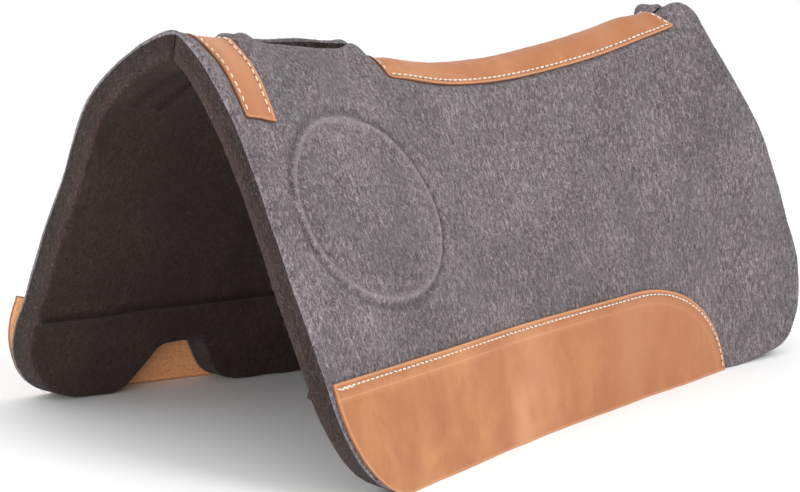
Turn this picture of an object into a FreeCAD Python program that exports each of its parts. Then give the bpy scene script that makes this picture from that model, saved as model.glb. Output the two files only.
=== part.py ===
"""Western saddle pad: two contoured wool felt halves joined along the spine,
with leather wear panels, a leather spine strip and a leather wither strap.

Millimetres. +Z is up, the spine runs along Y with the wither (front) end
towards -Y, and X is across the horse with the left half at +X. The pad
stands on its two bottom edges, at z = 0, and the origin is on that floor
under the middle of the pad.
"""

import FreeCAD
import Part

import math
import os

V = FreeCAD.Vector

# ---- driving dimensions ------------------------------------------------------

SPINE_LENGTH = 775.0  # along the back, front peak to rear peak
FRONT_Y = -464.5  # y of the front peak: centres the pad on the origin

# Felt layers, from the outside in: 25.4 mm (one inch) in all
OUTER_FELT = 3.4
CORE_FELT = 13.0
LINER_FELT = 9.0
CORE_DEPTH = OUTER_FELT
LINER_DEPTH = OUTER_FELT + CORE_FELT
PAD_DEPTH = OUTER_FELT + CORE_FELT + LINER_FELT

# Height of the ridge at five even steps from the front to the rear peak
RIDGE_HEIGHTS = (386.0, 362.0, 333.0, 343.0, 375.0)

# How steeply a half falls away from the ridge, in degrees below level, at
# these distances down the outer face. Between them the section is an arc.
SLOPE_AT = (0.0, 12.0, 50.0, 110.0, 190.0, 340.0)
FRONT_SLOPES = (0.0, 26.0, 42.0, 57.0, 65.0, 65.0)
MIDDLE_SLOPES = (0.0, 31.0, 62.0, 63.0, 63.0, 77.0)
REAR_SLOPES = (0.0, 33.0, 70.0, 70.0, 79.0, 80.0)

# Fold along the spine
FOLD_Z = 345.0
OPEN_ANGLE = 14.0
CLOSE_ANGLE = 10.0
SEAM_GAP = 1.0  # each half's clearance from the centre plane at the fold

# Side outline of a half
FRONT_BULGE = (-8.0, 352.0)  # the front edge's furthest point, and the ones below it
FRONT_WAIST = (2.0, 230.0)
FRONT_CORNER = 100.0  # radius of the front bottom corner
FRONT_FOOT = 122.0  # where that corner meets the floor
REAR_FOOT = 812.0  # where the bottom edge starts to rise
REAR_RISE = ((893.0, 11.5), (924.0, 36.0))
REAR_REACH = (937.0, 76.0)  # the rear edge's furthest point
REAR_EDGE = ((927.0, 125.0), (882.0, 233.0), (829.0, 316.0))
REAR_LOBE = ((805.0, 354.0), (799.0, 368.0), (788.0, 376.0), (766.0, 384.0))

# Notch for the cinch billets, in the felt only
NOTCH_HEIGHT = 49.0
NOTCH_FRONT_FOOT = 161.0
NOTCH_FRONT_TOP = 188.0
NOTCH_REAR_TOP = 239.0
NOTCH_REAR_FOOT = 277.0
NOTCH_FRONT_FILLET = 24.0
NOTCH_TOP_FILLET = 12.0
NOTCH_REAR_FILLET = 60.0

# Wither opening between the halves
OPENING_FROM = 96.0
OPENING_TO = 240.0
OPENING_HALF_WIDTH = 8.0

# Rear split between the halves
SPLIT_FROM = 744.0
SPLIT_HALF_WIDTH = 9.0
REAR_PEAK = 815.0  # past the lobes

# Leather
LEATHER = 3.2
LIFT = 0.7  # the strap and spine strip sit this far off the felt
WEAR_TOP_Z = 105.0
WEAR_BACK = 780.0
WEAR_CURVE = 180.0  # length of the curve down at its rear end
STRIP_FROM = 273.0
STRIP_TO = 760.0
STRIP_NOTCH = 17.0  # the strip's rear end is hollowed by this much
STRIP_HALF = 33.0
STRIP_CORNER = 8.0
STRAP_FRONT = (18.0, 11.0)  # its front edge, along the pad: at the ridge and at its ends
STRAP_REAR = (68.0, 53.0)
STRAP_DROP = 102.0

# Oval insert at the shoulder
OVAL_AT = 157.0
OVAL_Z = 232.0
OVAL_HALF_LENGTH = 112.0
OVAL_HALF_HEIGHT = 75.0
OVAL_TILT = -12.0
INSERT_CLEARANCE = 0.3

# Stitches
STITCH_PITCH = 8.0
STITCH_LENGTH = 5.6
STITCH_RADIUS = 0.55
STITCH_INSET = 5.0
SEAM_START = 24.0  # where the wear leather's stitch line starts
SEAM_THREAD_DEPTH = 7.0
SEAM_THREAD_START = 2.0
ROW_MARGIN = 3.0  # a row of stitches stops this far from the end of its leather
THREAD_LIFT = STITCH_RADIUS + 0.4  # from the leather to the middle of a stitch
ON_LEATHER = -(LEATHER + THREAD_LIFT)
ON_LIFTED_LEATHER = -(LIFT + LEATHER + THREAD_LIFT)

# ---- the curved section ------------------------------------------------------


def between(values, places, at):
    """Value at a place, on straight lines between the given places."""
    if at <= places[0]:
        return values[0]
    for i in range(1, len(places)):
        if at <= places[i]:
            share = (at - places[i - 1]) / (places[i] - places[i - 1])
            return values[i - 1] + share * (values[i] - values[i - 1])
    return values[-1]


def ridge_height(along):
    """Height of the ridge at a distance from the front peak."""
    step = SPINE_LENGTH / (len(RIDGE_HEIGHTS) - 1)
    h = RIDGE_HEIGHTS
    if along <= 0:
        return h[0] + along * (h[1] - h[0]) / step
    if along >= SPINE_LENGTH:
        return h[-1] + (along - SPINE_LENGTH) * (h[-1] - h[-2]) / step
    i = min(int(along / step), len(h) - 2)
    t = along / step - i
    before = h[i - 1] if i > 0 else 2 * h[0] - h[1]
    after = h[i + 2] if i + 2 < len(h) else 2 * h[-1] - h[-2]
    slope_a = (h[i + 1] - before) / 2
    slope_b = (after - h[i]) / 2
    rise = h[i + 1] - h[i]
    return (
        h[i] + slope_a * t
        + (3 * rise - 2 * slope_a - slope_b) * t * t
        + (slope_a + slope_b - 2 * rise) * t ** 3
    )


def slope(along, drop):
    """Slope in radians, along the pad and down the outer face."""
    s = min(max(along / SPINE_LENGTH, 0.0), 1.0)
    front = between(FRONT_SLOPES, SLOPE_AT, drop)
    middle = between(MIDDLE_SLOPES, SLOPE_AT, drop)
    rear = between(REAR_SLOPES, SLOPE_AT, drop)
    mix = (
        front * (1 - s) * (1 - 2 * s)
        + middle * 4 * s * (1 - s)
        + rear * s * (2 * s - 1)
    )
    return math.radians(mix)


def skin_point(along, drop, depth=0.0):
    """A point of the left half, a depth below the outer face."""
    steps = 40
    x = 0.0
    z = ridge_height(along)
    for i in range(steps):
        angle = slope(along, drop * (i + 0.5) / steps)
        x += math.cos(angle) * drop / steps
        z -= math.sin(angle) * drop / steps
    angle = slope(along, drop)
    x -= depth * math.sin(angle)
    z -= depth * math.cos(angle)
    return V(x, FRONT_Y + along, z)


def saddle_point(along, across, depth=0.0):
    """The same for a piece over the ridge: across is + left, - right."""
    p = skin_point(along, abs(across), depth)
    if across == 0:
        return V(0, p.y, ridge_height(along) - depth)
    return V(math.copysign(p.x, across), p.y, p.z)


# ---- solids between two curved faces -----------------------------------------


def spread(low, high, count):
    return [low + (high - low) * i / (count - 1) for i in range(count)]


def curved_face(point, alongs, acrosses, depth):
    surface = Part.BSplineSurface()
    surface.interpolate([[point(a, c, depth) for c in acrosses] for a in alongs])
    return surface.toShape()


def slab(point, alongs, acrosses, top, bottom):
    """Closed solid between the faces at two depths."""
    upper = curved_face(point, alongs, acrosses, top)
    lower = curved_face(point, alongs, acrosses, bottom)
    sides = [Part.makeRuledSurface(a, b) for a, b in zip(upper.Edges, lower.Edges)]
    shell = Part.makeShell([upper, lower] + sides)
    shell.sewShape()
    solid = Part.makeSolid(shell)
    if solid.Volume < 0:
        solid.reverse()
    return solid


def panel_slab(top, bottom):
    return slab(skin_point, spread(-60, 1000, 15), spread(0, 540, 46), top, bottom)


# ---- outlines ----------------------------------------------------------------

# The cutting prisms reach past everything, above everything and below the floor
FAR = 600.0
CEILING = 460.0
UNDER = -10.0


def line(a, b):
    return Part.LineSegment(a, b).toShape()


def arc(a, through, b):
    return Part.Arc(a, through, b).toShape()


def curve(points, start=None, end=None):
    spline = Part.BSplineCurve()
    if start:
        spline.interpolate(Points=points, InitialTangent=start, FinalTangent=end)
    else:
        spline.interpolate(points)
    return spline.toShape()


def rounded(corners):
    """Closed outline through (point, fillet radius) corners."""
    count = len(corners)
    starts, ends, edges = [], [], []
    for i, (point, radius) in enumerate(corners):
        back = (corners[i - 1][0] - point).normalize()
        ahead = (corners[(i + 1) % count][0] - point).normalize()
        half = back.getAngle(ahead) / 2
        reach = radius / math.tan(half)
        starts.append(point + back * reach)
        ends.append(point + ahead * reach)
        if radius:
            middle = (back + ahead).normalize()
            centre_way = radius / math.sin(half)
            edges.append(arc(starts[i], point + middle * (centre_way - radius), ends[i]))
    for i in range(count):
        edges.append(line(ends[i], starts[(i + 1) % count]))
    return edges


def prism(edges, push):
    face = Part.Face(Part.Wire(Part.__sortEdges__(edges)))
    return face.extrude(push)


def side(along, z):
    """A point of the side view."""
    return V(0, FRONT_Y + along, z)


def half_outline():
    """The side view of a half, as a prism along X."""
    top_front = side(0, CEILING)
    shoulder = side(FRONT_FOOT - FRONT_CORNER, FRONT_CORNER)
    foot = side(FRONT_FOOT, 0)
    diagonal = FRONT_CORNER * math.sqrt(0.5)
    turn = side(FRONT_FOOT - diagonal, FRONT_CORNER - diagonal)
    heel = side(REAR_FOOT, 0)
    reach = side(*REAR_REACH)
    lobe = [side(*point) for point in REAR_LOBE]
    top_rear = side(REAR_LOBE[-1][0], CEILING)
    edges = [
        curve([top_front, side(*FRONT_BULGE), side(*FRONT_WAIST), shoulder]),
        arc(shoulder, turn, foot),
        line(foot, heel),
        curve([heel] + [side(*point) for point in REAR_RISE] + [reach]),
        curve([reach] + [side(*point) for point in REAR_EDGE] + [lobe[0]]),
        curve(lobe),
        line(lobe[-1], top_rear),
        line(top_rear, top_front),
    ]
    return prism(edges, V(FAR, 0, 0))


def fold_room():
    """Everything on the left of the seam, with room to fold both ways."""
    open_tan = math.tan(math.radians(OPEN_ANGLE / 2))
    close_tan = math.tan(math.radians(CLOSE_ANGLE / 2))
    corners = [
        V(SEAM_GAP + (CEILING - FOLD_Z) * open_tan, -FAR, CEILING),
        V(SEAM_GAP, -FAR, FOLD_Z),
        V(SEAM_GAP + FOLD_Z * close_tan, -FAR, 0),
        V(FAR, -FAR, 0),
        V(FAR, -FAR, CEILING),
    ]
    corners.append(corners[0])
    return Part.Face(Part.makePolygon(corners)).extrude(V(0, 2 * FAR, 0))


def notch():
    """Billet notch: leaning flanks with rounded shoulders and feet."""
    floor_front = NOTCH_FRONT_FOOT - 2 * NOTCH_FRONT_FILLET
    floor_rear = NOTCH_REAR_FOOT + NOTCH_REAR_FILLET
    corners = [
        (side(floor_front, UNDER), 0),
        (side(floor_front, 0), 0),
        (side(NOTCH_FRONT_FOOT, 0), NOTCH_FRONT_FILLET),
        (side(NOTCH_FRONT_TOP, NOTCH_HEIGHT), NOTCH_TOP_FILLET),
        (side(NOTCH_REAR_TOP, NOTCH_HEIGHT), NOTCH_TOP_FILLET),
        (side(NOTCH_REAR_FOOT, 0), NOTCH_REAR_FILLET),
        (side(floor_rear, 0), 0),
        (side(floor_rear, UNDER), 0),
    ]
    return prism(rounded(corners), V(FAR, 0, 0))


def wither_opening():
    """Lens-shaped cut from above, on both sides of the centre plane."""
    a = V(0, FRONT_Y + OPENING_FROM, 0)
    b = V(0, FRONT_Y + OPENING_TO, 0)
    middle = FRONT_Y + (OPENING_FROM + OPENING_TO) / 2
    left = arc(a, V(OPENING_HALF_WIDTH, middle, 0), b)
    right = arc(b, V(-OPENING_HALF_WIDTH, middle, 0), a)
    return prism([left, right], V(0, 0, CEILING))


def rear_split():
    """The halves part in a narrow V behind the seam."""
    tip = V(0, FRONT_Y + SPLIT_FROM, 0)
    left = V(SPLIT_HALF_WIDTH, FRONT_Y + REAR_PEAK, 0)
    right = V(-SPLIT_HALF_WIDTH, FRONT_Y + REAR_PEAK, 0)
    return prism([line(tip, left), line(left, right), line(right, tip)], V(0, 0, CEILING))


def oval(grow=0.0):
    """The shoulder insert's outline, as a prism along X."""
    ellipse = Part.Ellipse(V(0, 0, 0), OVAL_HALF_LENGTH + grow, OVAL_HALF_HEIGHT + grow)
    face = Part.Face(Part.Wire(ellipse.toShape()))
    face.rotate(V(0, 0, 0), V(0, 0, 1), OVAL_TILT)
    face.rotate(V(0, 0, 0), V(1, 0, 0), 90)
    face.rotate(V(0, 0, 0), V(0, 0, 1), 90)
    face.translate(side(OVAL_AT, OVAL_Z))
    return face.extrude(V(FAR, 0, 0))


def wear_outline():
    """The wear leather's side view: level on top, curving down at the rear."""
    start = side(-30, WEAR_TOP_Z)
    crest = side(WEAR_BACK - WEAR_CURVE, WEAR_TOP_Z)
    back = side(WEAR_BACK, 0)
    bend = math.radians(45)
    knee = side(WEAR_BACK - WEAR_CURVE * (1 - math.sin(bend)), WEAR_TOP_Z * math.cos(bend))
    edges = [
        line(side(-30, 0), start),
        line(start, crest),
        curve([crest, knee, back], V(0, 1, 0), V(0, 0.3, -1)),
        line(back, side(-30, 0)),
    ]
    return prism(edges, V(FAR, 0, 0))


# ---- stitches ----------------------------------------------------------------


def stitch(a, b):
    """One stitch: a short rod from a to b."""
    return Part.makeCylinder(STITCH_RADIUS, (b - a).Length, a, b - a)


def stitch_row(path, length):
    """Stitches along a path, which gives a point at each distance."""
    count = int(length / STITCH_PITCH)
    first = (length - (count - 1) * STITCH_PITCH - STITCH_LENGTH) / 2
    row = []
    for i in range(count):
        at = first + i * STITCH_PITCH
        row.append(stitch(path(at), path(at + STITCH_LENGTH)))
    return row


def drop_at_height(along, z):
    """How far down the outer face a height lies."""
    low, high = 0.0, 540.0
    for _ in range(30):
        middle = (low + high) / 2
        if skin_point(along, middle).z > z:
            low = middle
        else:
            high = middle
    return low


def wear_seam(at):
    """A point of the wear leather's stitch line, from its front end."""
    straight = WEAR_BACK - WEAR_CURVE - SEAM_START
    top = WEAR_TOP_Z - STITCH_INSET
    if at <= straight:
        along = SEAM_START + at
        z = top
    else:
        turn = (at - straight) / wear_curve_length() * math.pi / 2
        along = WEAR_BACK - WEAR_CURVE + (WEAR_CURVE - STITCH_INSET) * math.sin(turn)
        z = top * math.cos(turn)
    return skin_point(along, drop_at_height(along, z), ON_LEATHER)


def wear_curve_length():
    """Length of the stitch line's curve down, as a quarter ellipse."""
    a = WEAR_CURVE - STITCH_INSET
    b = WEAR_TOP_Z - STITCH_INSET
    return math.pi / 4 * (3 * (a + b) - math.sqrt((3 * a + b) * (a + 3 * b)))


# ---- the pieces --------------------------------------------------------------


def felt_layers(room):
    """The three felt layers of the left half, and the insert in the core."""
    felt_room = room.cut(notch())
    core = panel_slab(CORE_DEPTH, LINER_DEPTH).common(felt_room)
    return {
        "outer_felt": panel_slab(0, CORE_DEPTH).common(felt_room),
        "core_felt": core.cut(oval(INSERT_CLEARANCE)),
        "liner_felt": panel_slab(LINER_DEPTH, PAD_DEPTH).common(felt_room),
        "shoulder_insert": core.common(oval()),
    }


def wear_leather(room):
    return panel_slab(-LEATHER, 0).common(room.common(wear_outline()))


def wear_stitching():
    straight = WEAR_BACK - WEAR_CURVE - SEAM_START
    return Part.Compound(stitch_row(wear_seam, straight + wear_curve_length()))


def strip_outline():
    """Plan view of the spine strip, hollowed at its rear end."""
    front = FRONT_Y + STRIP_FROM
    rear = FRONT_Y + STRIP_TO
    half = STRIP_HALF
    edges = [
        line(V(-half, front, 0), V(half, front, 0)),
        line(V(half, front, 0), V(half, rear, 0)),
        line(V(half, rear, 0), V(0, rear - STRIP_NOTCH, 0)),
        line(V(0, rear - STRIP_NOTCH, 0), V(-half, rear, 0)),
        line(V(-half, rear, 0), V(-half, front, 0)),
    ]
    block = prism(edges, V(0, 0, CEILING))
    corners = []
    for edge in block.Edges:
        box = edge.BoundBox
        if box.ZLength > CEILING / 2 and abs(box.YMin - front) < 1:
            corners.append(edge)
    return block.makeFillet(STRIP_CORNER, corners)


def spine_strip():
    alongs = spread(STRIP_FROM - 20, STRIP_TO + 20, 12)
    acrosses = spread(-STRIP_HALF, STRIP_HALF, 13)
    leather = slab(saddle_point, alongs, acrosses, -(LIFT + LEATHER), -LIFT)
    return leather.common(strip_outline())


def strip_stitching():
    """A row along each side and across the front end."""
    inset = STRIP_HALF - STITCH_INSET
    front = STRIP_FROM + STITCH_INSET
    rear = STRIP_TO - STITCH_INSET - ROW_MARGIN
    rows = []
    for hand in (1, -1):
        rows += stitch_row(
            lambda at, hand=hand: saddle_point(front + at, hand * inset, ON_LIFTED_LEATHER),
            rear - front,
        )
        rows += stitch_row(
            lambda at, hand=hand: saddle_point(
                rear - at * (STRIP_NOTCH / STRIP_HALF), hand * (inset - at), ON_LIFTED_LEATHER
            ),
            inset - ROW_MARGIN,
        )
    reach = inset - ROW_MARGIN
    rows += stitch_row(
        lambda at: saddle_point(front, at - reach, ON_LIFTED_LEATHER), 2 * reach
    )
    return Part.Compound(rows)


def strap_edge(across, ends):
    """The strap's front or rear edge, which leans forward away from the ridge."""
    return ends[0] + (ends[1] - ends[0]) * abs(across) / STRAP_DROP


def strap_point(share, across, depth):
    """A point of the strap, a share of its width from its front edge."""
    front = strap_edge(across, STRAP_FRONT)
    rear = strap_edge(across, STRAP_REAR)
    return saddle_point(front + (rear - front) * share, across, depth)


def wither_strap():
    acrosses = spread(-STRAP_DROP, STRAP_DROP, 35)
    return slab(strap_point, spread(0, 1, 5), acrosses, -(LIFT + LEATHER), -LIFT)


def strap_stitching():
    """A row along each long edge."""
    reach = STRAP_DROP - ROW_MARGIN
    rows = []
    for ends, inset in ((STRAP_FRONT, STITCH_INSET), (STRAP_REAR, -STITCH_INSET)):
        rows += stitch_row(
            lambda at, ends=ends, inset=inset: saddle_point(
                strap_edge(at - reach, ends) + inset, at - reach, ON_LIFTED_LEATHER
            ),
            2 * reach,
        )
    return Part.Compound(rows)


def seam_thread(start, end):
    """Stitches that draw the halves together, inside the seam."""
    return Part.Compound(
        stitch_row(
            lambda at: V(
                0, FRONT_Y + start + at, ridge_height(start + at) - SEAM_THREAD_DEPTH
            ),
            end - start,
        )
    )


def mirrored(shape):
    return shape.mirror(V(0, 0, 0), V(1, 0, 0))


def save(name, shape):
    """Write a node, as a plain solid where it is only one."""
    if len(shape.Solids) == 1:
        shape = shape.Solids[0]
    print(name, len(shape.Solids), "valid" if shape.isValid() else "INVALID", round(shape.Volume))
    shape.exportStep("parts/" + name + ".step")


def main():
    os.makedirs("parts", exist_ok=True)
    room = half_outline().common(fold_room()).cut(wither_opening()).cut(rear_split())
    pairs = felt_layers(room)
    pairs["wear_leather"] = wear_leather(room)
    pairs["wear_leather_stitching"] = wear_stitching()
    for name, shape in pairs.items():
        save(name + "_left", shape)
        save(name + "_right", mirrored(shape))
    save("spine_strip", spine_strip())
    save("spine_strip_stitching", strip_stitching())
    save("wither_strap", wither_strap())
    save("wither_strap_stitching", strap_stitching())
    save("front_seam_thread", seam_thread(SEAM_THREAD_START, OPENING_FROM))
    save("rear_seam_thread", seam_thread(OPENING_TO, SPLIT_FROM))


main()
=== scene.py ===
"""Looks of the western saddle pad: pressed wool felt, leather and stitching.

Metres, in the CAD frame: +Y runs along the spine towards the rear, +X is the
horse's left, +Z is up and the pad stands on z = 0. Every soft piece is laid
out on the pad itself, by its distance from the front peak ("along") and down
the outer face from the ridge ("drop"), and then placed in space.
"""

import math

import bpy
import numpy as np
from mathutils import Matrix, Vector
from mathutils.geometry import delaunay_2d_cdt
from mathutils.kdtree import KDTree


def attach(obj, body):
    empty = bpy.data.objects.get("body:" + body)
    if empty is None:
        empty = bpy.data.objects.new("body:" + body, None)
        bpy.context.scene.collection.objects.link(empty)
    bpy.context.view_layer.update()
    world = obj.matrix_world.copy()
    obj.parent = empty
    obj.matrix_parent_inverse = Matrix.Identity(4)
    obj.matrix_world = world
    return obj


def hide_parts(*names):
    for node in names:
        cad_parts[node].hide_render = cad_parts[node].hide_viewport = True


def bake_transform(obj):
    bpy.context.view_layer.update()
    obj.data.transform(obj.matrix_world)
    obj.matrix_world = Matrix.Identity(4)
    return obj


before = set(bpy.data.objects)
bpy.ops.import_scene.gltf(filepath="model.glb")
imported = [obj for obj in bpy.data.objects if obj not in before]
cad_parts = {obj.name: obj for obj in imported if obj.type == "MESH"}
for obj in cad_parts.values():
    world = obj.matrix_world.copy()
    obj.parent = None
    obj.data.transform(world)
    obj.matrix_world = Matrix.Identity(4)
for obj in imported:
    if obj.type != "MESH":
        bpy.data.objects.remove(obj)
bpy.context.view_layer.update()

# ---- the pad's dimensions, as in the CAD ----

SPINE_LENGTH = 0.775
FRONT_Y = -0.4645
OUTER_FELT = 0.0034
CORE_FELT = 0.013
LINER_FELT = 0.009
LINER_DEPTH = OUTER_FELT + CORE_FELT
PAD_DEPTH = OUTER_FELT + CORE_FELT + LINER_FELT
RIDGE_HEIGHTS = (0.386, 0.362, 0.333, 0.343, 0.375)
SLOPE_AT = (0.0, 0.012, 0.050, 0.110, 0.190, 0.340)
FRONT_SLOPES = (0, 26, 42, 57, 65, 65)
MIDDLE_SLOPES = (0, 31, 62, 63, 63, 77)
REAR_SLOPES = (0, 33, 70, 70, 79, 80)

LEATHER = 0.0032
LIFT = 0.0007  # the strap and spine strip sit this far off the felt
WEAR_TOP_Z = 0.105
WEAR_BACK = 0.780
WEAR_CURVE = 0.180
STRIP_FROM = 0.273
STRIP_TO = 0.760
STRIP_NOTCH = 0.017
STRIP_HALF = 0.033
STRAP_FRONT = (0.018, 0.011)  # along, at the ridge and at the strap's ends
STRAP_REAR = (0.068, 0.053)
STRAP_DROP = 0.102

OVAL_AT = 0.157
OVAL_Z = 0.232
OVAL_HALF_LENGTH = 0.112
OVAL_HALF_HEIGHT = 0.075
OVAL_TILT = math.radians(-12)

OPENING = (0.096, 0.240, 0.008)  # the wither opening's ends and its half width
SPLIT_FROM = 0.744  # where the halves part at the rear
SPLIT_SPREAD = 9 / 71
SEAM_GAP = 0.0004

STITCH_PITCH = 0.008
STITCH_LENGTH = 0.0056
STITCH_RADIUS = 0.00078
STITCH_INSET = 0.005
SEAM_START = 0.024

SIDES = (("left", 1), ("right", -1))

# ---- the curved section ----


def ridge_height(along):
    """Height of the ridge, a smooth curve through even steps."""
    h = np.array(RIDGE_HEIGHTS)
    step = SPINE_LENGTH / (len(h) - 1)
    padded = np.concatenate([[2 * h[0] - h[1]], h, [2 * h[-1] - h[-2]]])
    along = np.asarray(along, float)
    inside = np.clip(along, 0, SPINE_LENGTH)
    i = np.minimum((inside / step).astype(int), len(h) - 2)
    t = inside / step - i
    slope_a = (padded[i + 2] - padded[i]) / 2
    slope_b = (padded[i + 3] - padded[i + 1]) / 2
    rise = h[i + 1] - h[i]
    z = h[i] + slope_a * t + (3 * rise - 2 * slope_a - slope_b) * t**2
    z += (slope_a + slope_b - 2 * rise) * t**3
    z += np.minimum(along, 0) * (h[1] - h[0]) / step
    return z + np.maximum(along - SPINE_LENGTH, 0) * (h[-1] - h[-2]) / step


def slope(along, drop):
    s = np.clip(along / SPINE_LENGTH, 0, 1)
    front, middle, rear = (
        np.interp(drop, SLOPE_AT, v) for v in (FRONT_SLOPES, MIDDLE_SLOPES, REAR_SLOPES)
    )
    mix = front * (1 - s) * (1 - 2 * s) + middle * 4 * s * (1 - s) + rear * s * (2 * s - 1)
    return np.radians(mix)


class Section:
    """The outer face, worked out once on a fine grid and then looked up."""

    ALONG_STEP = 0.004
    DROP_STEP = 0.001

    def __init__(self):
        self.along = np.arange(-0.06, 1.0, self.ALONG_STEP)
        self.drop = np.arange(0, 0.56, self.DROP_STEP)
        a, d = np.meshgrid(self.along, self.drop, indexing="ij")
        self.angle = slope(a, d)
        middle = slope(a[:, 1:], d[:, 1:] - self.DROP_STEP / 2)
        zero = np.zeros((len(self.along), 1))
        across = np.cumsum(np.cos(middle), axis=1) * self.DROP_STEP
        down = np.cumsum(np.sin(middle), axis=1) * self.DROP_STEP
        self.x = np.concatenate([zero, across], axis=1)
        self.fall = np.concatenate([zero, down], axis=1)

    def look(self, table, along, drop):
        i = np.clip((along - self.along[0]) / self.ALONG_STEP, 0, len(self.along) - 1.001)
        j = np.clip(drop / self.DROP_STEP, 0, len(self.drop) - 1.001)
        i0, j0 = i.astype(int), j.astype(int)
        u, v = i - i0, j - j0
        near = table[i0, j0] * (1 - v) + table[i0, j0 + 1] * v
        far = table[i0 + 1, j0] * (1 - v) + table[i0 + 1, j0 + 1] * v
        return near * (1 - u) + far * u

    def drop_at(self, along, z):
        """How far down the outer face a height lies."""
        along = np.asarray(along, float)
        z = np.asarray(z, float)
        low, high = np.zeros_like(along), np.full_like(along, 0.55)
        top = ridge_height(along)
        for _ in range(24):
            middle = (low + high) / 2
            above = top - self.look(self.fall, along, middle) > z
            low, high = np.where(above, middle, low), np.where(above, high, middle)
        return low


section = Section()


def height(along, drop):
    """Height of a point on the outer face."""
    return ridge_height(along) - section.look(section.fall, along, np.abs(drop))


def smooth_step(x, start, end):
    t = np.clip((x - start) / (end - start), 0, 1)
    return t * t * (3 - 2 * t)


FOOT_LEVEL = 0.045  # below this height the felt's cut edges run level, as on the floor
FOOT_TILTED = 0.110  # and above this one they stand square to the outer face


def place(along, drop, depth, hand=1):
    """Points in space. Depth is below the outer face, and drop is negative past the ridge."""
    along, drop, depth = np.broadcast_arrays(along, drop, depth)
    flat = np.abs(drop)
    x = section.look(section.x, along, flat)
    z = ridge_height(along) - section.look(section.fall, along, flat)
    sine, cosine = (f(section.look(section.angle, along, flat)) for f in (np.sin, np.cos))
    level = smooth_step(z, FOOT_TILTED, FOOT_LEVEL)
    x = x - depth * ((1 - level) * sine + level / np.maximum(sine, 0.5))
    z = z - depth * (1 - level) * cosine
    side = np.where(drop < 0, -hand, hand)
    return np.stack([x * side, FRONT_Y + along, np.maximum(z, 0)], -1)


def wall(along):
    """How far a half stays from the centre plane: at the seam, the opening and the split."""
    start, end, width = OPENING
    t = np.clip((along - start) / (end - start), 0, 1)
    split = np.clip(along - SPLIT_FROM, 0, None) * SPLIT_SPREAD
    return SEAM_GAP + width * np.sin(math.pi * t) + split


def seam_drop(along, depth):
    """Where the layer at this depth meets the wall."""
    drops = np.linspace(0, 0.075, 151)
    best = np.zeros_like(along)
    for low, high in zip(drops, drops[1:]):
        x0, x1 = (
            section.look(section.x, along, np.full_like(along, d))
            - depth * np.sin(section.look(section.angle, along, np.full_like(along, d)))
            for d in (low, high)
        )
        share = np.clip((wall(along) - x0) / np.maximum(x1 - x0, 1e-9), 0, 1)
        best = np.where((x0 < wall(along)) & (x1 >= wall(along)), low + share * (high - low), best)
    return best


# ---- outlines, as rows of (along, drop) ----


def bend(points, count):
    """A smooth curve through points, with count steps between each two."""
    p = np.array(points, float)
    p = np.concatenate([[2 * p[0] - p[1]], p, [2 * p[-1] - p[-2]]])
    t = (np.arange(count) / count)[:, None]
    spans = []
    for a, b, c, d in zip(p, p[1:], p[2:], p[3:]):
        m, n = (c - a) / 2, (d - b) / 2
        spans.append(b + m * t + (3 * (c - b) - 2 * m - n) * t**2 + (m + n - 2 * (c - b)) * t**3)
    return np.concatenate(spans + [p[-2:-1]])


def corner(before, point, after, radius, count=10):
    """An arc in place of a corner."""
    a, p, b = (np.array(v, float) for v in (before, point, after))
    back, ahead = (a - p) / np.linalg.norm(a - p), (b - p) / np.linalg.norm(b - p)
    half = math.acos(np.clip(back @ ahead, -1, 1)) / 2
    centre = p + (back + ahead) / np.linalg.norm(back + ahead) * radius / math.sin(half)
    start, end = (p + way * radius / math.tan(half) - centre for way in (back, ahead))
    t = np.linspace(0, 1, count)[:, None]
    turn = math.pi - 2 * half
    return centre + (start * np.sin((1 - t) * turn) + end * np.sin(t * turn)) / math.sin(turn)


def even(points, step, closed=True):
    """The same line, with points about a step apart."""
    p = np.array(points, float)
    if closed:
        p = np.concatenate([p, p[:1]])
    gone = np.concatenate([[0], np.cumsum(np.linalg.norm(np.diff(p, axis=0), axis=1))])
    keep = np.concatenate([[True], np.diff(gone) > 1e-9])
    count = max(2, round(gone[-1] / step))
    at = np.linspace(0, gone[-1], count + 1)
    if closed:
        at = at[:-1]
    return np.stack([np.interp(at, gone[keep], p[keep, k]) for k in (0, 1)], 1)


def on_face(side_view):
    """Turns (along, height) into (along, drop)."""
    p = np.array(side_view, float)
    return np.stack([p[:, 0], section.drop_at(p[:, 0], p[:, 1])], 1)


FRONT_CORNER = 0.100
FRONT_FOOT = 0.122
REAR_FOOT = 0.812
NOTCH = ((0.161, 0.0, 0.024), (0.188, 0.049, 0.012), (0.239, 0.049, 0.012), (0.277, 0.0, 0.060))


def front_edge():
    """From the front peak down to the floor."""
    edge = on_face(bend([(-0.008, 0.352), (0.002, 0.230), (0.022, FRONT_CORNER)], 24))
    peak = bend([(0.0, 0.0), (-0.005, 0.022), edge[0]], 10)
    turn = np.linspace(0, math.pi / 2, 30)[1:]
    arc_x = FRONT_FOOT - FRONT_CORNER * np.cos(turn)
    arc_z = FRONT_CORNER * (1 - np.sin(turn))
    return np.concatenate([peak, edge[1:], on_face(np.stack([arc_x, arc_z], 1))])


def rear_edge():
    """From the floor up to the rear lobe, and over it to the seam."""
    side_view = [
        (REAR_FOOT, 0.0), (0.893, 0.0115), (0.924, 0.036), (0.937, 0.076),
        (0.927, 0.125), (0.882, 0.233), (0.829, 0.316), (0.805, 0.354),
    ]
    lobe = [(0.805, 0.041), (0.799, 0.022), (0.788, 0.010), (0.770, 0.004), (SPLIT_FROM, 0.0)]
    edge = on_face(bend(side_view, 16))
    lobe[0] = tuple(edge[-1])
    return np.concatenate([edge, bend(lobe, 10)[1:]])


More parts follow.
